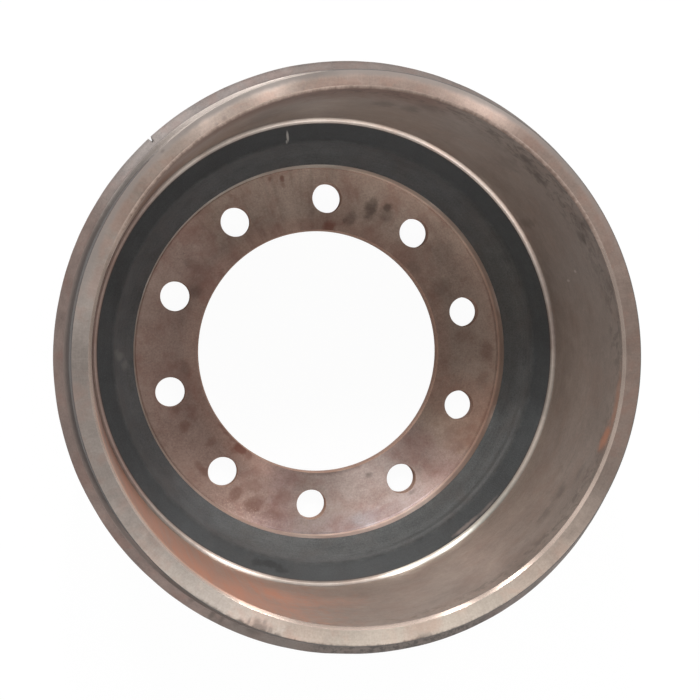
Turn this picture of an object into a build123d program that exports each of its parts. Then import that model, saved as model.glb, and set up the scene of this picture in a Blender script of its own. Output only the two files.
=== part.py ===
from build123d import *
import os

# Brake drum for a heavy truck axle: one casting, turned on its working faces and drilled.
# Millimetres. +Z runs along the axle axis, out of the open mouth.
# The origin is the centre of the outer face of the mounting flange, which the drum stands on.

# Mounting flange, at the closed end
flange_thickness = 13.5
flange_corner_chamfer = 4.0
pilot_diameter = 224.8
pilot_chamfer = 1.0
bolt_circle_diameter = 285.75
bolt_hole_diameter = 27.4
bolt_hole_count = 10

# Hub seat turned into the inner side of the flange, with the low wall left round it
hub_seat_margin = 27.725
hub_seat_corner_chamfer = 1.5
hub_seat_wall_height = 19.4
hub_seat_wall_draft = 1.4

# Neck left as cast: a cove that flares up to a bead, then a gently sloping shelf
cove_height = 32.5
cove_depth = 3.0
cove_share_of_neck = 0.545
bead_radius = 5.0
shelf_rise = 9.25
neck_thickness = 12.5
neck_corner_radius = 20.0

# Friction bore, with the turned shoulder at its foot and the chamfer at its mouth
friction_diameter = 419.1
friction_width = 192.0
shoulder_width = 4.55
shoulder_corner_chamfer = 2.5
mouth_chamfer = 2.5
wall_thickness = 16.0
wall_foot_drop = 6.5
wall_foot_radius = 20.0

# Lip at the mouth, which a dust shield overlaps, and the ledge at its foot
lip_thickness = 16.0
lip_edge_chamfer = 1.0
lip_length = 39.0
lip_draft = 2.0
ledge_width = 4.0
ledge_step = 2.0

# Stiffening ring cast round the outside, behind the lip
ring_height = 14.5
ring_face_slope = 6.0
ring_edge_chamfer = 2.0
ring_width = 30.0
ring_back_slope = 10.0

# Radii and heights worked out from the sizes above
pilot_radius = pilot_diameter / 2
bolt_circle_radius = bolt_circle_diameter / 2
seat_radius = bolt_circle_radius + hub_seat_margin
seat_wall_radius = seat_radius + hub_seat_wall_draft
seat_wall_top = flange_thickness + hub_seat_wall_height
friction_radius = friction_diameter / 2
shoulder_radius = friction_radius - shoulder_width
neck_width = shoulder_radius - seat_wall_radius
bead_at = seat_wall_radius + cove_share_of_neck * neck_width
bead_top = seat_wall_top + cove_height
shoulder_top = bead_top + shelf_rise
drum_height = shoulder_top + friction_width
neck_outer_radius = seat_wall_radius + neck_thickness
wall_outer_radius = friction_radius + wall_thickness
ring_radius = wall_outer_radius + ring_height
lip_radius = friction_radius + lip_thickness
lip_foot_radius = lip_radius + lip_draft
ledge_top = drum_height - lip_length


def flange_outline():
    """Pilot bore and hub seat, from the foot of the flange up to the top of the seat's wall."""
    return [
        (pilot_radius + pilot_chamfer, 0),
        (pilot_radius, pilot_chamfer),
        (pilot_radius, flange_thickness - pilot_chamfer),
        (pilot_radius + pilot_chamfer, flange_thickness),
        (seat_radius - hub_seat_corner_chamfer, flange_thickness),
        (seat_radius, flange_thickness + hub_seat_corner_chamfer),
        (seat_wall_radius, seat_wall_top),
    ]


def bore_outline():
    """Friction bore, from the turned shoulder up to the outer edge of the front face."""
    return [
        (shoulder_radius, shoulder_top),
        (friction_radius - shoulder_corner_chamfer, shoulder_top),
        (friction_radius, shoulder_top + shoulder_corner_chamfer),
        (friction_radius, drum_height - mouth_chamfer),
        (friction_radius + mouth_chamfer, drum_height),
        (lip_radius - lip_edge_chamfer, drum_height),
    ]


def rim_outline():
    """Lip, ledge and stiffening ring, down the outside to the plain wall."""
    ledge_radius = lip_foot_radius + ledge_width
    ring_top = ledge_top - ring_face_slope
    ring_foot = ledge_top - ring_width
    return [
        (lip_radius, drum_height - lip_edge_chamfer),
        (lip_foot_radius, ledge_top),
        (ledge_radius, ledge_top),
        (ledge_radius, ledge_top - ledge_step),
        (ring_radius - ring_edge_chamfer, ring_top),
        (ring_radius, ring_top - ring_edge_chamfer),
        (ring_radius, ring_foot + ring_edge_chamfer),
        (ring_radius - ring_edge_chamfer, ring_foot),
        (wall_outer_radius, ring_foot - ring_back_slope),
    ]


def hat_outline():
    """Outside of the closed end, from the foot of the plain wall down to the flange's outer face."""
    return [
        (wall_outer_radius, shoulder_top - wall_foot_drop),
        (neck_outer_radius, seat_wall_top - neck_thickness / 2),
        (neck_outer_radius, flange_corner_chamfer),
        (neck_outer_radius - flange_corner_chamfer, 0),
    ]


def round_corner(section, corner, radius):
    """The section with one of its corners rounded."""
    place = Plane.XZ.from_local_coords((corner[0], corner[1], 0))
    return fillet(section.vertices().sort_by_distance(place)[0], radius)


def drum_section():
    """Half section of the drum, in the XZ plane, with the cast corners rounded."""
    flange = flange_outline()
    bead = (bead_at, bead_top)
    hat = hat_outline()
    with BuildSketch(Plane.XZ) as outline:
        with BuildLine():
            Polyline(bead, *bore_outline(), *rim_outline(), *hat, *flange)
            SagittaArc(flange[-1], bead, -cove_depth)
        make_face()
    section = round_corner(outline.sketch, bead, bead_radius)
    section = round_corner(section, hat[0], wall_foot_radius)
    return round_corner(section, hat[1], neck_corner_radius)


def bolt_holes():
    """Through holes for the wheel studs, one of them on +Y."""
    drill = Cylinder(bolt_hole_diameter / 2, flange_thickness * 3)
    return PolarLocations(bolt_circle_radius, bolt_hole_count, start_angle=90) * drill


def brake_drum():
    """The whole drum: the section turned round the axle axis, and drilled."""
    return revolve(drum_section(), Axis.Z) - bolt_holes()


os.makedirs("parts", exist_ok=True)
export_step(brake_drum(), "parts/brake_drum.step")
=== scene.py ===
import math

import bmesh
import bpy
from mathutils import Matrix, Vector, noise


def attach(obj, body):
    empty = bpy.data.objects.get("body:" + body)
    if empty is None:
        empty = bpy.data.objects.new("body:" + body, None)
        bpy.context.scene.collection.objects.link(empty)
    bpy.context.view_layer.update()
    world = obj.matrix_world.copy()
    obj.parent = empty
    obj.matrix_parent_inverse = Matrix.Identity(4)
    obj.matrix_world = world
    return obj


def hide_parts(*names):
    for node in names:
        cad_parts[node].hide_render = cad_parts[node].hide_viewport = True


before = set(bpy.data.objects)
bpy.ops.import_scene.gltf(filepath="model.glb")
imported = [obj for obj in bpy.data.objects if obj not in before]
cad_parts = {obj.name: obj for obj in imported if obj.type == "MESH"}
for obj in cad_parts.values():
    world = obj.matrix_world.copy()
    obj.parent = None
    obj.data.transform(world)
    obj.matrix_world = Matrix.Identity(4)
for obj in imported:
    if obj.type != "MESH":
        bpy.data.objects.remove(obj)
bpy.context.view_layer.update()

# The drum's lengths are in millimetres and its angles in degrees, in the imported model's frame: the axle axis
# is Z, the outer face of the flange stands on Z = 0 and the mouth is above. MM turns them into metres.
MM = 0.001

# Flange, with the pilot bore, the stud holes and the hub seat turned into it.
pilot_radius = 112.4
pilot_chamfer = 1.0
pilot_edge = 0.35
pilot_middle = 7.0
seat_height = 13.5
seat_radius = 170.6
seat_corner = 1.5
bolt_circle_radius = 142.875
bolt_hole_radius = 13.7
bolt_hole_edge = 0.45
bolt_hole_count = 10
first_hole_angle = 90.0

# Neck: a cove from the seat's wall up to a bead, then a sloping shelf. Points are radius and height.
seat_wall_top = (172.0, 32.9)
bead = (189.985, 65.4)
shelf_end = (205.0, 74.65)
cove_depth = 3.0
cove_steps = 44
shelf_steps = 22

# Within bead_reach of the bead each point is the mean of those within bead_softness of it.
bead_softness = 3.2
bead_reach = 6.5

# Of the neck's points one in so many is kept, and more at the bead.
neck_kept = 4
bead_kept = 2

# Friction bore, with the turned shoulder at its foot and the chamfer at its mouth.
bore_radius = 209.55
shoulder_height = 74.65
shoulder_corner = 2.5
mouth_height = 266.65
mouth_chamfer = 2.5

# Lip, ledge and stiffening ring.
lip_radius = 225.0
lip_chamfer = 0.75
lip_foot_radius = 228.2
ledge_radius = 232.2
ledge_height = 227.65
ledge_step = 2.0
ledge_flare = 0.2
ring_radius = 240.05
ring_top = 221.65
ring_foot = 197.65
ring_chamfer = 2.0

# Plain wall and the outside of the closed end.
wall_radius = 225.55
wall_top = 187.65
wall_foot = 68.15
neck_outer_radius = 184.5
neck_corner_height = 26.65
back_chamfer = 4.0

# How finely surfaces are divided, and the angle from which an edge is sharp.
segments = 450
hole_segments = 56
longest_step = 6.0
corner_step = 15.0
longest_corner_share = 0.48
sharp_angle = 24.0

# Unevenness of the casting: height and length of its waves, and the finer waves on them.
cast_wave_height = 0.35
cast_wave_length = 17.0
rim_wave_height = 0.22
rim_wave_length = 30.0
finer_waves = 2.7
finer_share = 0.5
finer_offset = (3.1, 1.7, 5.3)

# A notch knocked out of the outer ring: the angles where it starts, is deepest and ends, and its steps.
nick_start = 136.05
nick_middle = 136.5
nick_end = 136.65
nick_step = 0.05
nick_margin = 0.75

# It cuts in from nick_root on, is deepest from nick_full on, and leans with the drop below nick_top.
nick_root = 234.0
nick_full = 238.0
nick_depth = 4.2
nick_top = 219.65
nick_lean = 0.0245

# The outer edge of the turned face runs a little off the axis. The face is above face_foot.
edge_runout = 0.55
edge_runout_angle = 225.0
edge_start = 223.0
face_foot = 265.0

# Above rim_foot the cast ring and the foot of the lip run off further, are slightly oval and fuller on one
# side. They reach as far as ring_reach along X and Y.
rim_foot = 187.0
ring_reach = 240.0
ring_shrink = 0.94
ring_runout = 1.33
ring_runout_angle = 265.0
ring_oval = 0.44
ring_oval_angle = 316.0
ring_bulge = 2.16
ring_bulge_angle = 308.0
ring_bulge_half_width = 42.0


def arc_between(start, end, sagitta, steps):
    """Points of a circular arc from start to end that bulges by sagitta to the right of its chord."""
    (r0, z0), (r1, z1) = start, end
    chord = math.hypot(r1 - r0, z1 - z0)
    radius = (chord * chord / 4 + sagitta * sagitta) / (2 * sagitta)
    along = ((r1 - r0) / chord, (z1 - z0) / chord)
    side = (along[1], -along[0])
    middle = ((r0 + r1) / 2, (z0 + z1) / 2)
    centre = (middle[0] + side[0] * (sagitta - radius), middle[1] + side[1] * (sagitta - radius))
    half = math.asin(chord / (2 * radius))
    points = []
    for i in range(steps + 1):
        turn = half * (2 * i / steps - 1)
        points.append((centre[0] + radius * (side[0] * math.cos(turn) + along[0] * math.sin(turn)),
                       centre[1] + radius * (side[1] * math.cos(turn) + along[1] * math.sin(turn))))
    return points


def line_between(start, end, steps):
    """Points that part a straight line into equal steps, with its end and without its start."""
    return [(start[0] + (end[0] - start[0]) * i / steps, start[1] + (end[1] - start[1]) * i / steps)
            for i in range(1, steps + 1)]


def round_corner(before, corner, after, radius):
    """Points of the arc that rounds one corner of the section, smaller where a side of it is short."""
    a = Vector(before) - Vector(corner)
    b = Vector(after) - Vector(corner)
    opening = a.angle(b)
    longest = longest_corner_share * min(a.length, b.length)
    reach = min(radius / math.tan(opening / 2), longest)
    radius = reach * math.tan(opening / 2)
    a.normalize()
    b.normalize()
    centre = Vector(corner) + (a + b).normalized() * (radius / math.sin(opening / 2))
    first = Vector(corner) + a * reach - centre
    last = Vector(corner) + b * reach - centre
    turn = first.angle(last)
    steps = max(2, math.ceil(math.degrees(turn) / corner_step))
    points = []
    for i in range(steps + 1):
        share = i / steps
        mixed = first * math.sin((1 - share) * turn) + last * math.sin(share * turn)
        points.append(tuple(centre + mixed / math.sin(turn)))
    return points


def neck_outline():
    """The neck's cove, rounded bead and sloping shelf, from the seat's wall up to the shoulder."""
    raw = arc_between(seat_wall_top, bead, cove_depth, cove_steps)
    raw += line_between(bead, shelf_end, shelf_steps)
    kept = []
    for i, point in enumerate(raw):
        at_bead = math.dist(point, bead) < bead_reach
        if at_bead:
            near = [q for q in raw if math.dist(q, point) <= bead_softness]
            point = (sum(q[0] for q in near) / len(near), sum(q[1] for q in near) / len(near))
        at_end = i in (0, len(raw) - 1)
        if at_end or i % neck_kept == 0 or (at_bead and i % bead_kept == 0):
            kept.append(point)
    return kept


def drum_section():
    """The half section from the seat's edge over the neck, bore, mouth, rim and wall to the back's edge.
    Each corner is radius, height, corner radius and the surface that follows it. Gives back the points
    and the surface between each point and the next."""
    neck = neck_outline()
    corners = [
        (seat_radius - seat_corner, seat_height, 0, "seat"),
        (seat_radius, seat_height + seat_corner, 0.8, "seat_wall"),
        (*neck[0], 0.6, "neck"),
        *((r, z, 0, "neck") for r, z in neck[1:-1]),
        (*shelf_end, 0.35, "shoulder"),
        (bore_radius - shoulder_corner, shoulder_height, 1.2, "shoulder"),
        (bore_radius, shoulder_height + shoulder_corner, 1.5, "bore"),
        (bore_radius, mouth_height - mouth_chamfer, 0.4, "mouth"),
        (bore_radius + mouth_chamfer, mouth_height, 0.5, "face"),
        (lip_radius - lip_chamfer, mouth_height, 0.35, "lip"),
        (lip_radius, mouth_height - lip_chamfer, 0.35, "lip"),
        (lip_foot_radius, ledge_height, 1.0, "ledge"),
        (ledge_radius, ledge_height, 1.2, "ring"),
        (ledge_radius + ledge_flare, ledge_height - ledge_step, 0.8, "ring"),
        (ring_radius - ring_chamfer, ring_top, 1.5, "ring"),
        (ring_radius, ring_top - ring_chamfer, 1.5, "rim"),
        (ring_radius, ring_foot + ring_chamfer, 1.5, "rim"),
        (ring_radius - ring_chamfer, ring_foot, 1.5, "rim"),
        (wall_radius, wall_top, 4.0, "wall"),
        (wall_radius, wall_foot, 20.0, "wall"),
        (neck_outer_radius, neck_corner_height, 20.0, "wall"),
        (neck_outer_radius, back_chamfer, 1.0, "wall"),
        (neck_outer_radius - back_chamfer, 0.0, 0, "back"),
    ]
    points = []
    zones = []
    for i, (r, z, radius, zone) in enumerate(corners):
        before = corners[i - 1]
        run = round_corner(before[:2], (r, z), corners[i + 1][:2], radius) if radius else [(r, z)]
        if points:
            pieces = math.ceil(math.dist(points[-1], run[0]) / longest_step)
            between = line_between(points[-1], run[0], pieces)[:-1]
            points += between
            zones += [before[3]] * (len(between) + 1)
        points += run
        first_half = (len(run) - 1) // 2
        zones += [before[3]] * first_half + [zone] * (len(run) - 1 - first_half)
    return points, zones


def cast_offset(x, y, z, height, length):
    """Uneven height of a cast surface, always the same at the same place."""
    place = Vector((x, y, z)) / length
    finer = place * finer_waves + Vector(finer_offset)
    return height * (noise.noise(place) + finer_share * noise.noise(finer))


def turn_between(angle, other):
    """Degrees from a direction in degrees to an angle in radians, between -180 and 180."""
    return (math.degrees(angle) - other + 180) % 360 - 180


def ring_offset(angle):
    """How far the cast ring stands out at an angle, beyond its even circle."""
    offset = ring_runout * math.cos(math.radians(turn_between(angle, ring_runout_angle))) - ring_shrink
    offset += ring_oval * math.cos(2 * math.radians(turn_between(angle, ring_oval_angle)))
    away = abs(turn_between(angle, ring_bulge_angle)) / ring_bulge_half_width
    if away < 1:
        offset += ring_bulge * math.cos(away * math.pi / 2) ** 2
    return offset


def nick_at(angle, height):
    """Depth of the notch in the ring at an angle and height. It leans a little about the axis."""
    turn = math.degrees(angle) + (nick_top - height) * nick_lean
    if not nick_start < turn < nick_end:
        return 0.0
    rising = (turn - nick_start) / (nick_middle - nick_start)
    falling = (nick_end - turn) / (nick_end - nick_middle)
    return nick_depth * min(rising, falling)


def rim_point(r, z, angle):
    """Radius of a point outside the turned face, moved with the edge's and the ring's run-out."""
    ring_share = min(1.0, (r - edge_start) / (lip_foot_radius - edge_start))
    if z > face_foot:
        ring_share = 0.0
    edge_share = (1 - ring_share) * min(1.0, r - edge_start)
    r += edge_share * edge_runout * math.cos(math.radians(turn_between(angle, edge_runout_angle)))
    wave = cast_offset(r * math.cos(angle), r * math.sin(angle), z, rim_wave_height, rim_wave_length)
    r += ring_share * (ring_offset(angle) + wave)
    nick_share = (r - nick_root) / (nick_full - nick_root)
    r -= nick_at(angle, z) * min(1.0, max(0.0, nick_share))
    return min(r, ring_reach / max(abs(math.cos(angle)), abs(math.sin(angle))))


def section_point(r, z, zone, angle):
    """A point of the section turned to an angle, in metres, with the casting's unevenness and its notch."""
    x, y = math.cos(angle), math.sin(angle)
    if zone in ("neck", "wall"):
        r += cast_offset(r * x, r * y, z, cast_wave_height, cast_wave_length)
    elif r > edge_start and z > rim_foot:
        r = rim_point(r, z, angle)
    return r * x * MM, r * y * MM, z * MM


def turns_about_axis():
    """Angles of the drum's segments in radians, closer together across the notch."""
    even = [360 * k / segments for k in range(segments)]
    lowest = nick_start - nick_margin
    steps = round((nick_end - lowest) / nick_step) + 2
    close = [lowest - nick_step + nick_step * k for k in range(steps + 1)]
    apart = [turn for turn in even if turn < close[0] - nick_step / 2 or turn > close[-1] + nick_step / 2]
    return [math.radians(turn) for turn in sorted(apart + close)]


def following(ring):
    """The ring begun one vertex later, so that each vertex meets the next one."""
    return ring[1:] + ring[:1]


def ring_edges(bm, ring):
    """The edges along a closed ring of vertices."""
    return [bm.edges.get(pair) for pair in zip(ring, following(ring))]


def bridge(bm, lower, upper, material):
    """Quads between two rings with as many vertices each."""
    for corners in zip(lower, following(lower), following(upper), upper):
        face = bm.faces.new(corners)
        face.material_index = material
        face.smooth = True


def fill_flat(bm, rims, material):
    """Fills a flat face between its outer rim and its holes' rims, and makes them all sharp."""
    edges = [edge for rim in rims for edge in ring_edges(bm, rim)]
    made = bmesh.ops.triangle_fill(bm, use_beauty=True, use_dissolve=False, edges=edges)
    for face in made["geom"]:
        if isinstance(face, bmesh.types.BMFace):
            face.material_index = material
            face.smooth = False
    for edge in edges:
        edge.smooth = False


def circle(bm, centre, radius, height, count):
    """A ring of vertices about a vertical axis."""
    cx, cy = centre
    turns = [2 * math.pi * i / count for i in range(count)]
    return [bm.verts.new(((cx + radius * math.cos(t)) * MM, (cy + radius * math.sin(t)) * MM, height * MM))
            for t in turns]


def tube(bm, centre, stations, count, material):
    """A tube through rings of given radius and height. Gives back its first and last ring."""
    rings = [circle(bm, centre, radius, height, count) for radius, height in stations]
    for lower, upper in zip(rings, rings[1:]):
        bridge(bm, lower, upper, material)
    return rings[0], rings[-1]


def turned_body(bm, index):
    """The section turned about the axis. Gives back its rings at the seat and at the back."""
    points, zones = drum_section()
    turns = turns_about_axis()
    rings = []
    for i, (r, z) in enumerate(points):
        before, after = zones[max(i - 1, 0)], zones[min(i, len(zones) - 1)]
        zone = after if before == after else "edge"
        rings.append([bm.verts.new(section_point(r, z, zone, turn)) for turn in turns])
    for i, zone in enumerate(zones):
        bridge(bm, rings[i], rings[i + 1], index[zone])
    return rings[0], rings[-1]


def drilled_holes(bm, material):
    """Walls of the pilot bore and then of the stud holes. Gives back the lowest and highest ring of each."""
    pilot = [
        (pilot_radius + pilot_chamfer, 0), (pilot_radius + pilot_edge, pilot_edge),
        (pilot_radius, pilot_chamfer), (pilot_radius, pilot_middle),
        (pilot_radius, seat_height - pilot_chamfer), (pilot_radius + pilot_edge, seat_height - pilot_edge),
        (pilot_radius + pilot_chamfer, seat_height),
    ]
    stud = [
        (bolt_hole_radius + bolt_hole_edge, 0), (bolt_hole_radius, bolt_hole_edge),
        (bolt_hole_radius, seat_height - bolt_hole_edge), (bolt_hole_radius + bolt_hole_edge, seat_height),
    ]
    ends = [tube(bm, (0, 0), pilot, segments, material)]
    for k in range(bolt_hole_count):
        turn = math.radians(first_hole_angle + 360 * k / bolt_hole_count)
        centre = (bolt_circle_radius * math.cos(turn), bolt_circle_radius * math.sin(turn))
        ends.append(tube(bm, centre, stud, hole_segments, material))
    return ends


def build_drum(zone_names):
    """The whole drum as one closed mesh with a material for each kind of surface."""
    index = {name: i for i, name in enumerate(zone_names)}
    bm = bmesh.new()
    seat_rim, back_rim = turned_body(bm, index)
    pilot, *studs = drilled_holes(bm, index["holes"])
    fill_flat(bm, [pilot[1], seat_rim] + [high for low, high in studs], index["seat"])
    fill_flat(bm, [pilot[0], back_rim] + [low for low, high in studs], index["back"])
    bmesh.ops.recalc_face_normals(bm, faces=bm.faces)
    for edge in bm.edges:
        if len(edge.link_faces) == 2 and edge.calc_face_angle(0) > math.radians(sharp_angle):
            edge.smooth = False
    mesh = bpy.data.meshes.new("drum_casting")
    bm.to_mesh(mesh)
    bm.free()
    return mesh


def paint(red, green, blue):
    """A colour written as the eight-bit values that a screen shows, in linear light."""
    def linear(value):
        value /= 255
        return value / 12.92 if value <= 0.04045 else ((value + 0.055) / 1.055) ** 2.4
    return (linear(red), linear(green), linear(blue), 1.0)


class Nodes:
    """Adds nodes to one material and joins them."""

    def __init__(self, tree):
        self.tree = tree

    def add(self, kind, **settings):
        node = self.tree.nodes.new(kind)
        for name, value in settings.items():
            setattr(node, name, value)
        return node

    def join(self, value, socket):
        """Puts a number, a colour or another node's output into a socket."""
        if isinstance(value, bpy.types.NodeSocket):
            self.tree.links.new(value, socket)
        elif value is not None:
            socket.default_value = value

    def math(self, operation, a, b=None, c=None):
        node = self.add("ShaderNodeMath", operation=operation)
        for value, socket in zip((a, b, c), node.inputs):
            self.join(value, socket)
        return node.outputs[0]

    def times(self, *values):
        """The product of two or more numbers."""
        product = values[0]
        for value in values[1:]:
            product = self.math("MULTIPLY", product, value)
        return product

    def vector(self, operation, a, b=None):
        node = self.add("ShaderNodeVectorMath", operation=operation)
        self.join(a, node.inputs[0])
        self.join(b, node.inputs["Scale"] if operation == "SCALE" else node.inputs[1])
        return node.outputs["Value"] if operation == "LENGTH" else node.outputs[0]

    def combine(self, x, y, z):
        node = self.add("ShaderNodeCombineXYZ")
        for value, socket in zip((x, y, z), node.inputs):
            self.join(value, socket)
        return node.outputs[0]

    def noise(self, vector, scale, detail, roughness, distortion=0.0):
        node = self.add("ShaderNodeTexNoise")
        self.join(vector, node.inputs["Vector"])
        for name, value in (("Scale", scale), ("Detail", detail), ("Roughness", roughness),
                            ("Distortion", distortion)):
            self.join(value, node.inputs[name])
        return node.outputs[0]

    def swing(self, *settings):
        """Noise that swings about 0, with the settings of noise."""
        return self.math("SUBTRACT", self.noise(*settings), 0.5)

    def step(self, value, low, high, to_low=0.0, to_high=1.0):
        """Smooth step of a value from to_low at low to to_high at high, which may lie below low."""
        node = self.add("ShaderNodeMapRange", interpolation_type="SMOOTHSTEP")
        for item, name in ((value, "Value"), (low, "From Min"), (high, "From Max"),
                           (to_low, "To Min"), (to_high, "To Max")):
            self.join(item, node.inputs[name])
        return node.outputs[0]

    def mix(self, factor, a, b):
        """A colour that goes from a to b as the factor goes from 0 to 1."""
        node = self.add("ShaderNodeMix", data_type="RGBA")
        for value, socket in ((factor, 0), (a, 6), (b, 7)):
            self.join(value, node.inputs[socket])
        return node.outputs[2]

    def blend(self, factor, a, b):
        """A number that goes from a to b as the factor goes from 0 to 1."""
        node = self.add("ShaderNodeMix", data_type="FLOAT")
        for value, socket in ((factor, 0), (a, 2), (b, 3)):
            self.join(value, node.inputs[socket])
        return node.outputs[0]


class Places:
    """Where a point of the drum lies: millimetres, radius, height and direction about the axis.
    Masks are 1 inside a place and 0 outside. Their edges are made uneven by warp, a soft noise."""

    def __init__(self, n):
        self.n = n
        self.mm = n.vector("SCALE", n.add("ShaderNodeTexCoord").outputs["Object"], 1 / MM)
        parts = n.add("ShaderNodeSeparateXYZ")
        n.join(self.mm, parts.inputs[0])
        self.height = parts.outputs[2]
        flat = n.combine(parts.outputs[0], parts.outputs[1], 0.0)
        self.radius = n.vector("LENGTH", flat)
        around = n.add("ShaderNodeSeparateXYZ")
        n.join(n.vector("NORMALIZE", flat), around.inputs[0])
        self.cos = around.outputs[0]
        self.sin = around.outputs[1]
        self.run = n.math("ADD", self.radius, self.height)
        self.warp = n.swing(self.mm, 0.13, 4.0, 0.6)

    def turned(self, across, around):
        """A vector that changes across the lathe's marks and along them by its own factor each."""
        n = self.n
        return n.combine(n.times(self.cos, around), n.times(self.sin, around), n.times(self.run, across))

    def warped(self, across, amount):
        """A place across the marks, moved by the warp."""
        return self.n.math("MULTIPLY_ADD", self.warp, amount, across)

    def turn_from(self, angle):
        """Degrees about the axis from a given direction."""
        n = self.n
        c, s = math.cos(math.radians(angle)), math.sin(math.radians(angle))
        along = n.math("ADD", n.times(self.cos, c), n.times(self.sin, s))
        aside = n.math("SUBTRACT", n.times(self.sin, c), n.times(self.cos, s))
        return n.times(n.math("ARCTAN2", aside, along), 180 / math.pi)

    def sector(self, angle, half_width, edge=12.0, within=None):
        """A mask of half_width degrees to each side of a direction, with an edge of so many degrees more.
        Another mask can bound it."""
        n = self.n
        off = n.math("ADD", n.math("ABSOLUTE", self.turn_from(angle)), n.times(self.warp, edge))
        mask = n.step(off, half_width + edge, half_width)
        return mask if within is None else n.times(within, mask)

    def patch(self, across, angle, centre, half_turn, half_across, ragged, edge):
        """A mask of an uneven oval about a direction in degrees and a place across the marks."""
        n = self.n
        a = n.math("DIVIDE", self.turn_from(angle), half_turn)
        b = n.math("DIVIDE", n.math("SUBTRACT", across, centre), half_across)
        reach = n.vector("LENGTH", n.combine(a, b, 0.0))
        return n.step(n.math("MULTIPLY_ADD", self.warp, ragged, reach), 1 + edge, 1 - edge)

    def patches(self, across, places, ragged, edge):
        """A mask of several ovals, each given as angle, centre, half turn, half width and strength."""
        total = None
        for angle, centre, half_turn, half_across, strength in places:
            one = self.patch(across, angle, centre, half_turn, half_across, ragged, edge)
            one = self.n.times(one, strength)
            total = one if total is None else self.n.math("MAXIMUM", total, one)
        return total


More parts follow.
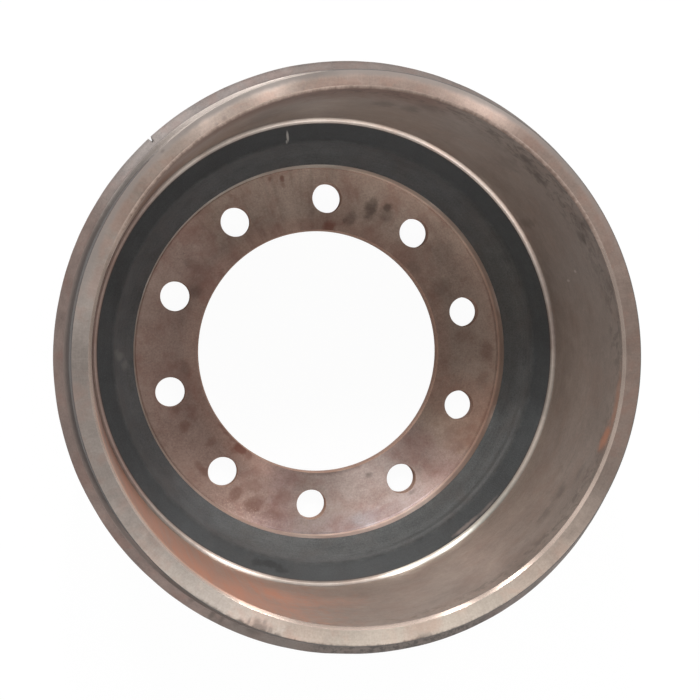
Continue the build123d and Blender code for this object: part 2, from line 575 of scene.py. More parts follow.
class Finish:
    """One surface finish: a base tone, stains and painted light and shade laid over it, and the shader that
    shows them.
    """

    def __init__(self, name, dark, light, rough, metal, turned=0.0, gloss=0.5):
        self.material = bpy.data.materials.new(name)
        self.material.use_nodes = True
        self.material.node_tree.nodes.clear()
        self.n = Nodes(self.material.node_tree)
        self.p = Places(self.n)
        self.dark, self.light = dark, light
        self.rough, self.metal, self.turned, self.gloss = rough, metal, turned, gloss

    def lathe_tone(self, marks, clouds, grain, mottle=0.0):
        """The streaks of a turning tool, broad soft clouds, a mottled film and a fine grain."""
        n, p = self.n, self.p
        fine = n.swing(p.turned(1.1, 5.0), 1.0, 4.0, 0.65)
        broad = n.swing(p.mm, 0.022, 4.0, 0.6, 0.5)
        self.grain = n.swing(p.mm, 0.62, 3.0, 0.7)
        layers = [(fine, marks), (broad, clouds), (self.grain, grain)]
        if mottle:
            layers.append((n.swing(p.mm, 0.11, 3.0, 0.6, 0.6), mottle))
        self.set_tone(layers)
        self.height = n.math("MULTIPLY_ADD", self.grain, 0.8, fine)

    def cast_tone(self, sand, clouds):
        """The sandy skin of a casting with soft clouds."""
        n, p = self.n, self.p
        self.grain = n.swing(p.mm, 0.7, 4.0, 0.7)
        broad = n.swing(p.mm, 0.06, 4.0, 0.6, 0.4)
        streak = n.swing(p.turned(0.25, 6.0), 1.0, 3.0, 0.6)
        self.set_tone([(self.grain, sand), (broad, clouds), (streak, 0.5)])
        self.height = n.math("MULTIPLY_ADD", broad, 0.8, self.grain)

    def set_tone(self, layers):
        """Mixes the dark and the light colour by a middle tone and weighted layers of noise."""
        n = self.n
        tone = 0.5
        for value, weight in layers:
            tone = n.math("MULTIPLY_ADD", value, weight, tone)
        self.colour = n.mix(n.math("MINIMUM", n.math("MAXIMUM", tone, 0.0), 1.0), self.dark, self.light)

    def stain(self, mask, colour, rough=None, metal=None):
        """Lays a colour over the surface where the mask is 1, with its own roughness and metal."""
        n = self.n
        self.colour = n.mix(mask, self.colour, colour)
        if rough is not None:
            self.rough = n.blend(mask, self.rough, rough)
        if metal is not None:
            self.metal = n.blend(mask, self.metal, metal)

    def spots(self, across, places, ragged, edge, colour, rough=None, metal=None):
        """Stains several ovals, each given as angle, centre, half turn, half width and strength."""
        self.stain(self.p.patches(across, places, ragged, edge), colour, rough, metal)

    def shade(self, mask, factor):
        """Darkens or lightens the colour by a factor where the mask is 1."""
        n = self.n
        self.colour = n.vector("SCALE", self.colour, n.blend(mask, 1.0, factor))

    def tint(self, mask, red, green, blue):
        """Multiplies the three colours by their own factors where the mask is 1."""
        n = self.n
        self.colour = n.vector("MULTIPLY", self.colour, n.mix(mask, (1, 1, 1, 1), (red, green, blue, 1)))

    def shade_sectors(self, sectors, within=None):
        """Shades sectors, each given as angle, half width, edge and factor."""
        for angle, half_width, edge, factor in sectors:
            self.shade(self.p.sector(angle, half_width, edge, within), factor)

    def tint_sectors(self, sectors, within=None):
        """Tints sectors, each given as angle, half width, edge and the factors of red, green and blue."""
        for angle, half_width, edge, *factors in sectors:
            self.tint(self.p.sector(angle, half_width, edge, within), *factors)

    def shade_patches(self, across, patches):
        """Shades ovals, each given as angle, centre, half turn, half width, raggedness, edge and factor."""
        for *place, factor in patches:
            self.shade(self.p.patch(across, *place), factor)

    def rust_bloom(self, colour, amount, low=0.46, high=0.66):
        """Soft irregular patches of a thin rust film."""
        n = self.n
        film = n.step(n.noise(self.p.mm, 0.035, 5.0, 0.65, 0.4), low, high)
        self.stain(n.times(film, amount), colour)

    def done(self, relief=0.04, rough_grain=0.12):
        """Joins everything to the shader. Relief is the depth of grain and marks, in millimetres."""
        n = self.n
        shader = n.add("ShaderNodeBsdfPrincipled")
        n.join(self.colour, shader.inputs["Base Color"])
        n.join(n.math("MULTIPLY_ADD", self.grain, rough_grain, self.rough), shader.inputs["Roughness"])
        n.join(self.metal, shader.inputs["Metallic"])
        n.join(self.gloss, shader.inputs["Specular IOR Level"])
        bump = n.add("ShaderNodeBump")
        n.join(relief * MM, bump.inputs["Distance"])
        n.join(self.height, bump.inputs["Height"])
        n.join(bump.outputs[0], shader.inputs["Normal"])
        if self.turned:
            tangent = n.add("ShaderNodeTangent", direction_type="RADIAL", axis="Z")
            n.join(tangent.outputs[0], shader.inputs["Tangent"])
            n.join(self.turned, shader.inputs["Anisotropic"])
            n.join(0.25, shader.inputs["Anisotropic Rotation"])
        n.join(shader.outputs[0], n.add("ShaderNodeOutputMaterial").inputs["Surface"])
        return self.material


DARK_DIRT = paint(60, 50, 44)
BROWN_DIRT = paint(92, 74, 64)
OILY_DIRT = paint(44, 39, 36)

# Spots on the drum, each as angle, radius (height in the bore), half turn in degrees, half width in
# millimetres and strength.
seat_blotches = [
    (242.6, 152.5, 2.0, 8.0, 0.5), (246.8, 139.5, 3.4, 6.0, 0.34), (249.6, 154.8, 3.2, 7.5, 0.62),
    (251.0, 147.0, 2.2, 5.0, 0.3), (258.6, 140.0, 3.0, 8.0, 0.44), (257.0, 157.5, 3.0, 5.5, 0.42),
    (254.0, 160.5, 3.0, 3.0, 0.3), (227.6, 153.5, 3.4, 3.0, 0.36), (222.6, 131.5, 1.4, 6.0, 0.34),
    (211.4, 143.5, 2.0, 5.0, 0.38), (205.0, 143.0, 1.4, 4.0, 0.25), (109.2, 166.0, 0.6, 2.2, 0.6),
    (105.1, 164.0, 0.7, 3.0, 0.75), (105.3, 157.5, 0.8, 2.2, 0.35), (122.9, 165.5, 0.6, 1.8, 0.4),
    (331.0, 149.0, 3.0, 7.0, 0.3), (328.6, 160.0, 2.6, 5.0, 0.32), (3.0, 160.0, 3.4, 6.0, 0.34),
    (9.0, 138.0, 2.6, 9.0, 0.3), (353.0, 158.0, 3.0, 5.0, 0.25), (53.0, 158.0, 4.0, 4.0, 0.22),
    (296.0, 147.0, 4.0, 7.0, 0.22), (269.0, 122.0, 5.0, 4.0, 0.2),
]
seat_red_spots = [
    (88.2, 116.5, 2.6, 4.6, 0.62), (86.4, 119.0, 1.6, 2.6, 0.4), (233.6, 116.0, 3.6, 4.6, 0.66),
    (238.4, 117.5, 1.6, 4.0, 0.3), (228.6, 114.0, 2.6, 2.4, 0.35), (232.0, 121.5, 2.4, 2.0, 0.3),
    (222.0, 114.5, 3.0, 1.6, 0.3),
]
seat_dark_spots = [
    (72.9, 142.5, 1.9, 8.5, 0.6), (67.3, 149.5, 1.4, 4.5, 0.6), (66.8, 143.0, 2.6, 6.5, 0.32),
    (79.6, 127.0, 2.2, 6.5, 0.36), (81.8, 124.0, 0.8, 2.4, 0.4), (30.0, 131.0, 4.0, 9.0, 0.22),
    (41.0, 148.0, 5.0, 12.0, 0.18), (157.0, 127.0, 2.6, 6.0, 0.28), (149.0, 142.0, 2.0, 8.0, 0.14),
    (295.2, 125.0, 1.5, 2.2, 0.42), (190.0, 125.0, 3.0, 4.0, 0.22), (44.0, 120.0, 3.0, 4.0, 0.2),
    (280.0, 114.0, 14.0, 1.6, 0.25), (306.5, 159.5, 1.6, 1.6, 0.3),
]
neck_black_spots = [
    (257.5, 196.5, 3.8, 2.8, 0.95), (254.5, 198.0, 2.0, 3.0, 0.8), (260.5, 199.0, 1.6, 2.0, 0.8),
]
neck_pale_spots = [
    (184.0, 184.5, 1.2, 3.0, 0.3), (186.5, 180.5, 1.4, 3.0, 0.25), (183.0, 187.5, 0.9, 2.0, 0.25),
]
neck_scratch = [(103.6, 196.5, 0.3, 4.2, 0.55), (104.0, 192.0, 0.22, 1.4, 0.4)]
shelf_edge_rubs = [(312.0, 202.5, 4.0, 1.3, 0.4), (319.0, 203.0, 3.0, 1.0, 0.25)]
bore_dark_spots = [
    (36.5, 104.0, 1.2, 26.0, 0.34), (47.0, 226.0, 2.2, 8.0, 0.6), (51.0, 234.0, 3.2, 12.0, 0.4),
    (53.0, 185.0, 2.4, 26.0, 0.28), (31.0, 230.0, 1.8, 6.0, 0.5), (34.0, 244.0, 2.6, 9.0, 0.3),
    (79.0, 196.0, 1.8, 16.0, 0.4), (85.0, 194.0, 2.2, 14.0, 0.4), (76.0, 225.0, 3.0, 12.0, 0.34),
    (112.0, 150.0, 4.0, 60.0, 0.24), (68.0, 150.0, 3.0, 50.0, 0.12),
]
bore_dull_rust = [(204.0, 100.0, 12.0, 56.0, 0.7), (197.0, 130.0, 6.0, 110.0, 0.5)]
bore_mouth_dirt = [
    (46.0, 244.0, 22.0, 26.0, 0.62), (14.0, 252.0, 18.0, 16.0, 0.4), (84.0, 250.0, 26.0, 16.0, 0.5),
    (318.0, 250.0, 36.0, 13.0, 0.4),
]
bore_bright_rust = [
    (258.0, 160.0, 7.0, 30.0, 0.6), (268.0, 156.0, 8.0, 20.0, 0.3), (240.0, 232.0, 15.0, 44.0, 0.6),
    (224.0, 190.0, 10.0, 70.0, 0.35),
]
bore_rust_spots = [
    (345.5, 254.0, 2.6, 7.0, 0.85), (343.5, 250.0, 1.6, 6.0, 0.75), (351.0, 260.0, 7.0, 5.0, 0.5),
]
bore_grey_spots = [
    (330.0, 204.0, 2.0, 7.0, 0.4), (324.0, 205.0, 2.2, 7.0, 0.4), (336.0, 226.0, 2.4, 5.0, 0.3),
]
bore_scratches = [(20.7, 148.0, 0.35, 4.0, 0.5), (22.8, 176.0, 0.35, 3.0, 0.5)]
face_dark_spots = [
    (251.0, 223.0, 1.9, 3.6, 0.6), (250.4, 220.0, 1.0, 3.4, 0.5), (252.0, 218.5, 0.4, 3.0, 0.45),
    (285.0, 223.5, 1.4, 2.4, 0.5), (247.4, 223.6, 0.5, 2.4, 0.5), (249.0, 222.0, 0.35, 3.6, 0.5),
    (253.6, 222.6, 0.5, 3.0, 0.5), (255.4, 224.0, 0.6, 1.6, 0.45), (311.0, 212.0, 2.4, 1.0, 0.45),
    (306.0, 211.6, 2.0, 0.7, 0.4), (123.5, 214.0, 0.5, 1.8, 0.4), (125.5, 213.0, 0.4, 1.4, 0.35),
    (137.5, 222.0, 0.5, 1.0, 0.35),
]
ring_dark_spots = [
    (243.5, 234.0, 0.5, 5.0, 0.6), (245.6, 233.0, 0.4, 5.0, 0.5), (248.6, 232.0, 0.6, 4.0, 0.5),
    (252.0, 232.0, 1.4, 4.0, 0.55), (238.5, 233.0, 0.5, 3.0, 0.35),
]


def seat_material():
    f = Finish("turned_seat", paint(106, 89, 80), paint(152, 135, 123), rough=0.4, metal=0.78, turned=0.95)
    n, p = f.n, f.p
    f.lathe_tone(marks=0.3, clouds=0.9, grain=1.1, mottle=0.5)
    f.rust_bloom(paint(112, 80, 70), 0.5, 0.42, 0.7)
    streaks = n.step(n.noise(p.turned(0.012, 26.0), 1.0, 3.0, 0.6), 0.45, 0.75)
    f.shade(p.sector(112.0, 18.0, within=streaks), 0.82)
    # Painted light and shade down to the spots: lighter towards the outer edge and at about 280–345°, where
    # the lamps light the seat and their beams reflect, with a pale greenish tint on the beam near 288° and the
    # beam toned down near 298°, and darker at about 112°, in the wall's shade. The other tints change its
    # colour by direction.
    f.shade(n.step(p.radius, 116.0, 168.0), 1.32)
    f.tint_sectors([
        (300.0, 26.0, 16.0, 1.02, 1.14, 1.14), (200.0, 50.0, 24.0, 1.06, 1.02, 1.06),
        (331.0, 15.0, 12.0, 1.1, 1.0, 0.97), (300.0, 22.0, 14.0, 1.03, 0.99, 1.02),
        (290.0, 30.0, 14.0, 0.98, 0.99, 1.07),
    ])
    f.shade(p.sector(112.0, 20.0, 12.0), 0.92)
    f.tint(p.patch(p.radius, 288.5, 164.0, 5.0, 8.0, 0.6, 0.6), 0.9, 1.04, 1.1)
    f.tint(p.patch(p.radius, 286.0, 168.0, 34.0, 12.0, 0.6, 0.7), 0.95, 0.97, 1.03)
    f.shade_patches(p.radius, [
        (282.0, 138.0, 22.0, 20.0, 0.8, 0.8, 1.2), (298.0, 165.0, 5.0, 9.0, 0.6, 0.7, 0.85),
        (327.0, 140.0, 10.0, 16.0, 0.6, 0.7, 1.18), (343.0, 142.0, 14.0, 16.0, 0.8, 0.8, 1.16),
        (302.0, 170.0, 20.0, 18.0, 0.6, 0.6, 1.2), (332.0, 166.0, 16.0, 16.0, 0.6, 0.6, 1.22),
    ])
    # Near the pilot bore: painted light at about 182° and painted shade at about 60°, in the wall's shade.
    inner = n.step(p.radius, 132.0, 118.0)
    f.tint_sectors([(120.0, 120.0, 20.0, 1.06, 0.96, 0.94), (200.0, 36.0, 16.0, 0.98, 1.03, 1.02)], inner)
    f.shade_sectors([(182.0, 56.0, 20.0, 1.12), (60.0, 28.0, 14.0, 0.88)], inner)
    f.spots(p.radius, seat_blotches, 2.2, 0.5, paint(106, 70, 58), rough=0.6, metal=0.3)
    f.spots(p.radius, seat_dark_spots, 2.0, 0.6, paint(56, 42, 34), rough=0.6, metal=0.2)
    f.spots(p.radius, seat_red_spots, 2.0, 0.5, paint(104, 52, 36), rough=0.7, metal=0.1)
    specks = n.step(n.noise(p.mm, 0.28, 3.0, 0.6), 0.66, 0.76)
    f.stain(n.times(specks, 0.3), paint(82, 58, 48), rough=0.65, metal=0.2)
    # Painted highlight: a broken pale metallic patch at the outer edge near 246°, where a lamp's beam
    # reflects.
    broken_highlight = n.step(n.noise(p.mm, 0.45, 3.0, 0.7), 0.5, 0.75)
    pale = p.patch(p.radius, 246.0, 168.0, 13.0, 10.0, 0.9, 0.7)
    f.stain(n.times(broken_highlight, pale, 0.6), paint(206, 182, 170), rough=0.45, metal=0.8)
    return f.done()


def seat_wall_material():
    # Painted light: its colours are much lighter than the seat's, for the light that the wall catches.
    f = Finish("turned_seat_wall", paint(172, 158, 148), paint(233, 213, 200),
               rough=0.36, metal=0.85, turned=0.8)
    n, p = f.n, f.p
    f.lathe_tone(marks=0.6, clouds=0.9, grain=0.8)
    f.rust_bloom(paint(160, 132, 120), 0.3)
    f.tint_sectors([
        (355.0, 26.0, 20.0, 0.92, 0.84, 0.82), (130.0, 34.0, 20.0, 1.1, 1.2, 1.26),
        (80.0, 120.0, 40.0, 0.95, 1.02, 1.04),
    ])
    # Painted light and shade on the right-hand half: a painted highlight line about 18 mm up the wall and
    # painted shade above it; painted shade darkens the whole wall towards the cove at the top.
    right = p.sector(355.0, 80.0, 16.0)
    bright_line = 18.0
    from_line = n.math("ABSOLUTE", n.math("SUBTRACT", p.height, bright_line))
    f.shade(n.times(right, n.step(from_line, 4.5, 1.0)), 1.5)
    f.shade(n.times(right, n.step(p.height, 20.0, 26.0)), 0.84)
    f.shade(n.step(p.height, 29.0, 33.0), 0.8)
    return f.done(relief=0.012, rough_grain=0.04)


def neck_material():
    f = Finish("cast_neck", paint(52, 53, 52), paint(87, 88, 86), rough=0.6, metal=0.12)
    n, p = f.n, f.p
    f.cast_tone(sand=1.9, clouds=0.8)
    f.rust_bloom(paint(74, 64, 58), 0.2)
    f.tint_sectors([
        (205.0, 60.0, 30.0, 1.12, 1.1, 1.1), (140.0, 80.0, 30.0, 0.99, 1.0, 1.06),
        (300.0, 60.0, 20.0, 0.98, 1.0, 1.04),
    ])
    # Painted light: a pool of light on the lower neck at about 230–342°, where a lamp shines in past the
    # mouth.
    f.shade(p.sector(286.0, 56.0, 10.0), 1.18)
    # The shelf outside about 190 mm is made much darker. Painted shade and light by direction on it, evening
    # out the lamps' light: darker at about 84°, 104° and 286°, lighter at about 12° and 180°.
    outer = n.step(p.warped(p.radius, 3.0), 188.0, 193.0)
    f.tint(outer, 0.38, 0.4, 0.41)
    f.shade_sectors([
        (84.0, 50.0, 20.0, 0.74), (286.0, 40.0, 10.0, 0.78), (104.0, 16.0, 12.0, 0.86),
        (180.0, 34.0, 16.0, 1.14), (12.0, 18.0, 14.0, 1.2),
    ], outer)
    # Painted light and shade on the cove: lighter at about 334° and darker at about 74°, and near 314° a dark
    # and a light line, the painted shade and highlight of a small groove that the mesh lacks.
    f.shade_patches(p.radius, [
        (334.0, 186.0, 54.0, 4.5, 0.5, 0.6, 1.28), (314.0, 186.8, 28.0, 0.8, 0.2, 0.6, 0.76),
        (314.0, 188.6, 30.0, 0.8, 0.2, 0.6, 1.18), (74.0, 175.0, 46.0, 5.0, 0.5, 0.6, 0.86),
    ])
    edge_line = n.step(p.warped(p.radius, 0.8), 203.9, 204.6)
    f.stain(n.times(edge_line, 0.7), paint(52, 38, 32))
    f.spots(p.radius, neck_scratch, 0.5, 0.4, paint(176, 172, 166))
    f.spots(p.radius, neck_pale_spots, 1.8, 0.6, paint(138, 136, 132))
    f.spots(p.radius, shelf_edge_rubs, 1.8, 0.6, paint(150, 132, 124))
    f.spots(p.radius, neck_black_spots, 2.6, 0.5, paint(14, 14, 14))
    return f.done(relief=0.3)


def shoulder_material():
    f = Finish("turned_shoulder", paint(142, 134, 128), paint(198, 187, 178),
               rough=0.28, metal=0.9, turned=1.0)
    n, p = f.n, f.p
    f.lathe_tone(marks=0.4, clouds=0.8, grain=0.25)
    f.rust_bloom(paint(150, 122, 108), 0.25)
    f.shade(n.step(n.noise(p.turned(0.0, 60.0), 1.0, 4.0, 0.7), 0.3, 0.7, -1.0, 1.0), 1.07)
    # Painted light and shade: lighter at about 72° and much lighter at about 326°, a painted highlight at
    # about 246°, the lamps' highlights toned down at about 0° and 114°, and darker at about 160–180°.
    f.shade_sectors([
        (72.0, 44.0, 20.0, 1.28), (246.0, 9.0, 6.0, 1.3), (160.0, 30.0, 14.0, 0.86), (0.0, 11.0, 7.0, 0.76),
        (114.0, 9.0, 8.0, 0.8),
    ])
    f.tint_sectors([
        (180.0, 30.0, 20.0, 0.78, 0.66, 0.64), (326.0, 28.0, 16.0, 1.3, 1.42, 1.42),
        (350.0, 16.0, 12.0, 1.06, 0.98, 0.97),
    ])
    # Painted highlight: the shoulder is lightest along radius 207.1 mm and darker to each side.
    highlight_radius = 207.1
    from_highlight = n.math("ABSOLUTE", n.math("SUBTRACT", p.radius, highlight_radius))
    f.shade(n.step(from_highlight, 2.5, 0.4), 1.3)
    f.shade(n.step(from_highlight, 0.9, 2.4), 0.68)
    return f.done(relief=0.008, rough_grain=0.02)


def bore_material():
    f = Finish("friction_bore", paint(107, 95, 87), paint(140, 126, 116), rough=0.42, metal=0.75, turned=0.7)
    n, p = f.n, f.p
    f.lathe_tone(marks=0.7, clouds=1.0, grain=1.6, mottle=0.8)
    f.rust_bloom(paint(118, 94, 82), 0.25)
    shade_bore(f)
    f.spots(p.height, bore_dull_rust, 1.6, 0.8, paint(116, 78, 68), rough=0.5, metal=0.5)
    brown = p.sector(112.0, 32.0, 14.0, within=n.step(p.warped(p.height, 60.0), 190.0, 256.0))
    f.stain(n.times(brown, 0.72), paint(98, 70, 58), rough=0.55, metal=0.4)
    mottled = n.step(n.noise(p.mm, 0.1, 5.0, 0.68, 0.6), 0.44, 0.62)
    near_mouth = p.patches(p.height, bore_mouth_dirt, 1.4, 0.6)
    f.stain(n.times(mottled, near_mouth), DARK_DIRT, rough=0.6, metal=0.4)
    f.spots(p.height, bore_dark_spots, 2.4, 0.7, DARK_DIRT, rough=0.6, metal=0.4)
    film = n.step(n.noise(p.turned(0.006, 40.0), 1.0, 3.0, 0.6), 0.25, 0.75, 0.35, 1.0)
    orange = p.sector(232.0, 14.0, 34.0, within=film)
    f.stain(n.times(orange, 0.85), paint(166, 117, 95), rough=0.5, metal=0.5)
    rusty = p.patches(p.height, bore_bright_rust, 2.4, 1.2)
    f.stain(n.times(rusty, n.blend(0.5, film, 1.0)), paint(182, 118, 90), rough=0.55, metal=0.4)
    # Painted light: a narrow light band at about 306°, from about 135 to 255 mm up.
    f.shade(p.patch(p.height, 306.0, 195.0, 3.0, 60.0, 0.8, 0.8), 1.16)
    f.spots(p.height, bore_rust_spots, 2.2, 0.8, paint(158, 106, 80), rough=0.6, metal=0.2)
    f.spots(p.height, bore_grey_spots, 2.4, 0.8, paint(80, 73, 68), rough=0.5, metal=0.6)
    f.spots(p.height, bore_scratches, 1.0, 0.4, paint(186, 172, 162))
    return f.done(relief=0.03)


def shade_bore(f):
    """Painted light and shade on the friction bore, and brownish tints at about 134°, 140° and 198°."""
    n, p = f.n, f.p
    # Painted light: lighter towards the shoulder, on the far side at about 240–360° and most at 290–316°, at
    # about 143–183° and in a narrow band near 98°. Painted shade: darker at about 10–122°, most at 44°, at
    # about 104° low down and at about 328° near the mouth.
    f.shade(n.step(p.height, 235.0, 85.0), 1.32)
    f.shade_sectors([
        (168.0, 15.0, 8.0, 1.55), (300.0, 60.0, 30.0, 1.1), (66.0, 56.0, 20.0, 0.92),
        (44.0, 16.0, 16.0, 0.93), (171.0, 12.0, 8.0, 1.28),
    ])
    f.shade_sectors([(290.0, 40.0, 30.0, 1.2)], n.step(p.height, 120.0, 235.0))
    f.shade_sectors([(104.0, 44.0, 16.0, 0.8)], n.step(p.height, 96.0, 80.0))
    f.shade_sectors([(316.0, 14.0, 12.0, 1.12)], n.step(p.height, 215.0, 170.0))
    f.shade_sectors([(328.0, 16.0, 12.0, 0.86)], n.step(p.height, 215.0, 240.0))
    f.tint_sectors([(134.0, 15.0, 8.0, 1.06, 0.98, 0.94), (198.0, 12.0, 10.0, 1.1, 1.0, 0.96)])
    f.tint(p.patch(p.height, 140.0, 150.0, 10.0, 72.0, 1.0, 0.5), 0.76, 0.6, 0.53)
    f.shade_patches(p.height, [
        (143.0, 262.0, 16.0, 34.0, 0.8, 0.7, 1.25), (148.0, 246.0, 22.0, 22.0, 0.8, 0.7, 1.2),
        (164.0, 92.0, 12.0, 24.0, 0.8, 0.7, 1.12), (98.0, 160.0, 4.0, 46.0, 0.8, 0.8, 1.14),
    ])


def mouth_material():
    f = Finish("turned_mouth", paint(132, 118, 109), paint(184, 167, 156),
               rough=0.25, metal=0.86, turned=1.0)
    n, p = f.n, f.p
    f.lathe_tone(marks=0.4, clouds=0.9, grain=0.4)
    foot = n.step(p.height, 265.6, 264.6)
    f.stain(n.times(p.sector(222.0, 24.0, within=foot), 0.5), paint(158, 112, 90), rough=0.45, metal=0.6)
    # Painted light and shade: lighter at about 186–242° and 311–344°, a painted highlight at about 252°, and a
    # lamp's highlight toned down at about 303°.
    f.shade_sectors([
        (212.0, 26.0, 12.0, 1.25), (226.0, 16.0, 10.0, 1.3), (322.0, 11.0, 10.0, 1.35),
        (328.0, 16.0, 12.0, 1.3), (252.0, 4.0, 4.0, 1.35), (303.0, 12.0, 6.0, 0.86),
    ])
    top = p.sector(94.0, 56.0, 14.0)
    f.stain(n.times(top, 0.85), paint(158, 139, 128), rough=0.42, metal=0.5)
    # Painted light: lighter at about 102–154°.
    f.shade(p.sector(128.0, 26.0, 10.0), 1.3)
    ragged = n.swing(p.turned(0.05, 50.0), 1.0, 4.0, 0.7)
    dirt = n.step(n.math("MULTIPLY_ADD", ragged, 5.0, p.radius), 212.6, 209.2)
    f.stain(n.times(dirt, top, 0.85), BROWN_DIRT, rough=0.6, metal=0.25)
    return f.done(relief=0.008, rough_grain=0.02)


def face_material():
    f = Finish("turned_face", paint(116, 104, 96), paint(157, 142, 132), rough=0.28, metal=0.88, turned=1.0)
    n, p = f.n, f.p
    f.lathe_tone(marks=0.3, clouds=1.0, grain=0.75, mottle=0.35)
    f.rust_bloom(paint(146, 112, 98), 0.3)
    f.shade(n.step(n.noise(p.turned(0.012, 110.0), 1.0, 3.0, 0.7), 0.3, 0.7, -1.0, 1.0), 1.06)
    # Painted light and shade: lighter at about 134–170° and 262–278°, darker at about 346–10°, and the lamps'
    # highlights toned down at about 109.5° and 126.5°. The tints lighten the face most at about 274° and 206°.
    f.shade_sectors([
        (358.0, 12.0, 16.0, 0.86), (152.0, 18.0, 16.0, 1.18), (270.0, 8.0, 8.0, 1.12),
        (126.5, 3.0, 4.0, 0.86), (109.5, 3.0, 4.0, 0.9),
    ])
    f.tint_sectors([
        (42.0, 46.0, 24.0, 1.08, 1.02, 1.01), (286.0, 16.0, 10.0, 0.95, 1.0, 1.01),
        (206.0, 36.0, 22.0, 1.1, 1.18, 1.24), (274.0, 36.0, 26.0, 1.46, 1.48, 1.46),
    ])
    outer = n.step(p.warped(p.radius, 4.0), 217.5, 222.5)
    f.stain(n.times(outer, p.sector(100.0, 58.0, 24.0), 0.85), paint(122, 114, 109), rough=0.5, metal=0.4)
    # Painted shade: the lamps' highlights on the outer face toned down at about 116° and 68°.
    f.shade_sectors([(116.0, 13.0, 8.0, 0.7), (68.0, 6.0, 6.0, 0.86)], outer)
    streaks = n.swing(p.turned(0.05, 60.0), 1.0, 4.0, 0.65)
    creeping = n.swing(p.turned(0.02, 36.0), 1.0, 2.0, 0.6)
    inner = n.step(n.math("MULTIPLY_ADD", creeping, 10.0, p.radius), 214.4, 211.0)
    f.stain(n.times(inner, p.sector(100.0, 46.0, 12.0), 0.35), BROWN_DIRT, rough=0.5, metal=0.5)
    drip = n.step(n.math("MULTIPLY_ADD", streaks, 5.0, p.radius), 222.8, 225.2)
    f.stain(n.times(drip, p.sector(272.0, 30.0, 14.0), 0.7), DARK_DIRT, rough=0.6, metal=0.3)
    f.spots(p.radius, face_dark_spots, 2.0, 0.7, DARK_DIRT, rough=0.6, metal=0.3)
    return f.done(relief=0.008, rough_grain=0.02)


def lip_material():
    f = Finish("lip_side", paint(66, 63, 62), paint(96, 91, 88), rough=0.6, metal=0.4)
    f.cast_tone(sand=0.8, clouds=0.9)
    f.rust_bloom(paint(92, 72, 62), 0.35)
    # Painted highlight: a pale metallic band at about 120°, where the lamps' beams cross the lip.
    f.stain(f.n.times(f.p.sector(120.0, 13.0, 9.0), 0.75), paint(172, 160, 151), rough=0.42, metal=0.6)
    return f.done(relief=0.2)


def ledge_material():
    f = Finish("turned_ledge", paint(110, 103, 98), paint(152, 143, 137), rough=0.44, metal=0.6, turned=1.0)
    n, p = f.n, f.p
    f.lathe_tone(marks=0.5, clouds=1.0, grain=0.9)
    # Painted highlight: lighter at about 128°, where a lamp's beam reflects.
    f.shade(p.sector(128.0, 24.0, 14.0), 1.22)
    f.stain(n.times(p.sector(203.0, 42.0, 14.0), 0.85), paint(122, 109, 103), rough=0.5, metal=0.5)
    # Painted shade and dirt: darker at the lip's foot at about 150–206°, where the lip shades the ledge.
    inner = n.step(p.warped(p.radius, 2.0), 230.6, 228.4)
    f.stain(n.times(inner, p.sector(178.0, 28.0, 16.0), 0.65), paint(70, 67, 66), rough=0.6, metal=0.3)
    f.stain(n.times(p.sector(250.0, 14.0, 12.0), 0.6), paint(84, 74, 68), rough=0.6, metal=0.3)
    soiled = n.step(n.noise(p.mm, 0.22, 5.0, 0.7), 0.38, 0.58)
    f.stain(n.times(soiled, p.sector(284.0, 14.0, 10.0), 0.85), OILY_DIRT, rough=0.65, metal=0.2)
    return f.done()


def ring_material():
    f = Finish("cast_ring", paint(92, 85, 81), paint(132, 122, 116), rough=0.52, metal=0.5)
    n, p = f.n, f.p
    f.cast_tone(sand=1.1, clouds=1.2)
    f.rust_bloom(paint(116, 88, 78), 0.3)
    f.shade(p.sector(236.0, 22.0, 12.0), 1.16)
    # The tint at about 128° is a painted highlight: lighter and bluer where the lamps' beams cross the ring.
    f.tint_sectors([
        (88.0, 32.0, 12.0, 0.78, 0.76, 0.76), (128.0, 15.0, 12.0, 1.22, 1.26, 1.3),
        (200.0, 40.0, 20.0, 0.96, 0.84, 0.81),
    ])
    f.spots(p.radius, ring_dark_spots, 1.2, 0.6, DARK_DIRT, rough=0.65, metal=0.2)
    f.stain(n.times(p.sector(274.0, 24.0, 12.0), 0.55), paint(84, 75, 69), rough=0.6, metal=0.3)
    soiled = n.step(n.noise(p.mm, 0.2, 5.0, 0.72), 0.44, 0.6)
    f.stain(n.times(soiled, p.sector(283.0, 14.0, 8.0), 0.65), OILY_DIRT, rough=0.65, metal=0.2)
    return f.done(relief=0.25)


def rim_material():
    f = Finish("cast_rim", paint(84, 76, 71), paint(118, 107, 99), rough=0.55, metal=0.45)
    f.cast_tone(sand=0.9, clouds=0.9)
    f.rust_bloom(paint(102, 76, 64), 0.5)
    return f.done(relief=0.3)


def wall_material():
    f = Finish("cast_wall", paint(70, 62, 57), paint(104, 93, 85), rough=0.58, metal=0.4)
    f.cast_tone(sand=0.9, clouds=1.0)
    f.rust_bloom(paint(104, 70, 56), 0.5, 0.44, 0.74)
    return f.done(relief=0.3)


def back_material():
    f = Finish("turned_back", paint(112, 92, 83), paint(154, 134, 121), rough=0.46, metal=0.7, turned=0.75)
    f.lathe_tone(marks=0.4, clouds=1.1, grain=0.9)
    f.rust_bloom(paint(112, 72, 58), 0.6)
    return f.done()


def hole_material():
    # Painted light: its colours are lighter than the seat's, so that the shaded walls inside the holes look as
    # light as the seat.
    f = Finish("drilled_holes", paint(136, 110, 97), paint(176, 148, 133), rough=0.8, metal=0.0, gloss=0.1)
    f.lathe_tone(marks=0.6, clouds=0.9, grain=0.8)
    f.rust_bloom(paint(110, 74, 62), 0.25)
    return f.done()


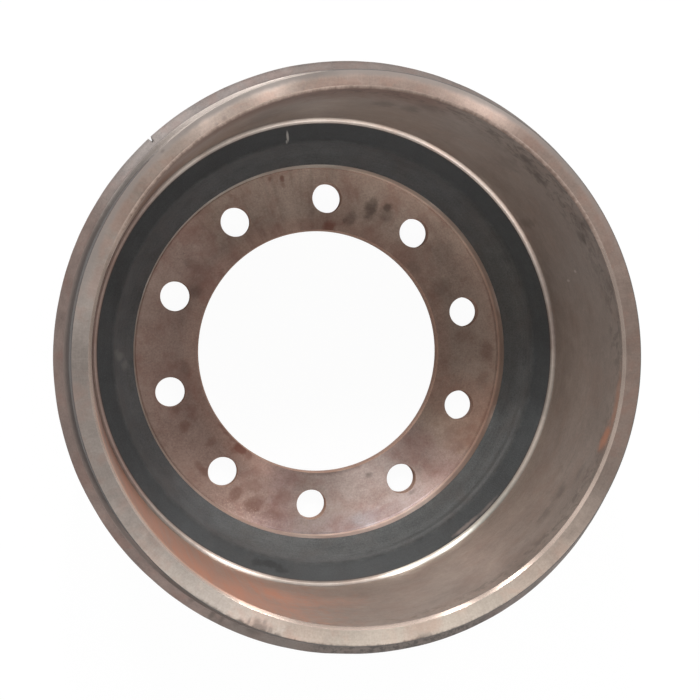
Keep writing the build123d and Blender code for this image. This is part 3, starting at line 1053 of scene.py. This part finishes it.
zone_materials = {
    "seat": seat_material, "seat_wall": seat_wall_material, "neck": neck_material,
    "shoulder": shoulder_material, "bore": bore_material, "mouth": mouth_material, "face": face_material,
    "lip": lip_material, "ledge": ledge_material, "ring": ring_material, "rim": rim_material,
    "wall": wall_material, "back": back_material, "holes": hole_material,
}


def add_drum():
    """The drum, with one finish for each kind of surface."""
    mesh = build_drum(zone_materials)
    for make_material in zone_materials.values():
        mesh.materials.append(make_material())
    drum = bpy.data.objects.new("drum_casting", mesh)
    bpy.context.scene.collection.objects.link(drum)
    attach(drum, "root")
    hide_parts("brake_drum")


# The studio. Its places and sizes are in metres.
floor_half_width = 4.0
floor_grey = 0.8
floor_glow = 0.96
sky_level = 0.81
lamp_target_height = 0.15

# Each lamp is a name, an angle about the axis, an elevation, a distance, a width and a power in watts.
lamps = [
    ("key", 101.5, 42.0, 2.2, 0.12, 17.0),
    ("second", 117.0, 42.0, 2.2, 0.25, 15.5),
    ("third", 56.2, 42.0, 2.2, 0.26, 13.4),
    ("top_panel", 88.0, 40.0, 1.7, 1.2, 9.6),
    ("low_panel", 275.0, 38.0, 1.7, 1.1, 6.8),
    ("low_left_panel", 240.0, 40.0, 1.7, 1.0, 5.8),
    ("low_right_panel", 310.0, 40.0, 1.7, 1.0, 4.2),
]

# The camera was fitted to the photograph's hole centres and turned edges. Its lens and sensor are in mm.
camera_place = (-0.21142, 0.02268, 1.5098)
camera_forward = (0.158627, -0.013162, -0.987251)
camera_up_hint = (-0.04872, 0.99858, -0.02144)
camera_lens = 83.416
camera_sensor = 36.0


def seen_directly(n):
    """1 for rays from the camera and for reflected or refracted ones, 0 for diffuse light."""
    path = n.add("ShaderNodeLightPath").outputs
    reflected = n.math("MAXIMUM", path["Is Glossy Ray"], path["Is Transmission Ray"])
    return n.math("MAXIMUM", path["Is Camera Ray"], reflected)


def add_floor():
    """A plain pale floor that looks white and keeps the drum's soft shadow."""
    half = floor_half_width
    corners = [(-half, -half, 0), (half, -half, 0), (half, half, 0), (-half, half, 0)]
    mesh = bpy.data.meshes.new("floor")
    mesh.from_pydata(corners, [], [(0, 1, 2, 3)])
    floor = bpy.data.objects.new("floor", mesh)
    bpy.context.scene.collection.objects.link(floor)
    material = bpy.data.materials.new("pale_floor")
    material.use_nodes = True
    material.node_tree.nodes.clear()
    n = Nodes(material.node_tree)
    matt = n.add("ShaderNodeBsdfDiffuse")
    matt.inputs["Color"].default_value = (floor_grey, floor_grey, floor_grey, 1)
    glow = n.add("ShaderNodeEmission")
    blend = n.add("ShaderNodeMixShader")
    n.join(n.times(seen_directly(n), floor_glow), blend.inputs[0])
    n.join(matt.outputs[0], blend.inputs[1])
    n.join(glow.outputs[0], blend.inputs[2])
    n.join(blend.outputs[0], n.add("ShaderNodeOutputMaterial").inputs["Surface"])
    mesh.materials.append(material)


def add_world():
    """Even soft light from all sides, white where it is seen directly."""
    world = bpy.data.worlds.new("studio")
    bpy.context.scene.world = world
    world.use_nodes = True
    world.node_tree.nodes.clear()
    n = Nodes(world.node_tree)
    sky = n.add("ShaderNodeBackground")
    n.join(n.math("MULTIPLY_ADD", seen_directly(n), 1.0 - sky_level, sky_level), sky.inputs["Strength"])
    n.join(sky.outputs[0], n.add("ShaderNodeOutputWorld").inputs["Surface"])


def add_lamp(name, angle, elevation, distance, size, power):
    """A soft square lamp that faces the drum from an angle about its axis and an elevation."""
    lamp = bpy.data.lights.new(name, "AREA")
    lamp.shape = "SQUARE"
    lamp.size = size
    lamp.energy = power
    holder = bpy.data.objects.new(name, lamp)
    bpy.context.scene.collection.objects.link(holder)
    turn, rise = math.radians(angle), math.radians(elevation)
    towards = Vector((math.cos(turn) * math.cos(rise), math.sin(turn) * math.cos(rise), math.sin(rise)))
    holder.location = Vector((0, 0, lamp_target_height)) + towards * distance
    holder.rotation_euler = (-towards).to_track_quat("-Z", "Y").to_euler()


def add_camera():
    """The photograph's viewpoint: above the mouth, a little to one side."""
    forward = Vector(camera_forward).normalized()
    right = forward.cross(Vector(camera_up_hint)).normalized()
    up = right.cross(forward)
    data = bpy.data.cameras.new("camera")
    data.sensor_fit = "HORIZONTAL"
    data.sensor_width = camera_sensor
    data.lens = camera_lens
    camera = bpy.data.objects.new("camera", data)
    bpy.context.scene.collection.objects.link(camera)
    turn = Matrix((right, up, -forward)).transposed()
    camera.matrix_world = Matrix.Translation(Vector(camera_place)) @ turn.to_4x4()
    bpy.context.scene.camera = camera


add_camera()
add_drum()
add_floor()
add_world()
for lamp in lamps:
    add_lamp(*lamp)
bpy.context.scene.view_settings.view_transform = "Standard"

bpy.context.view_layer.update()
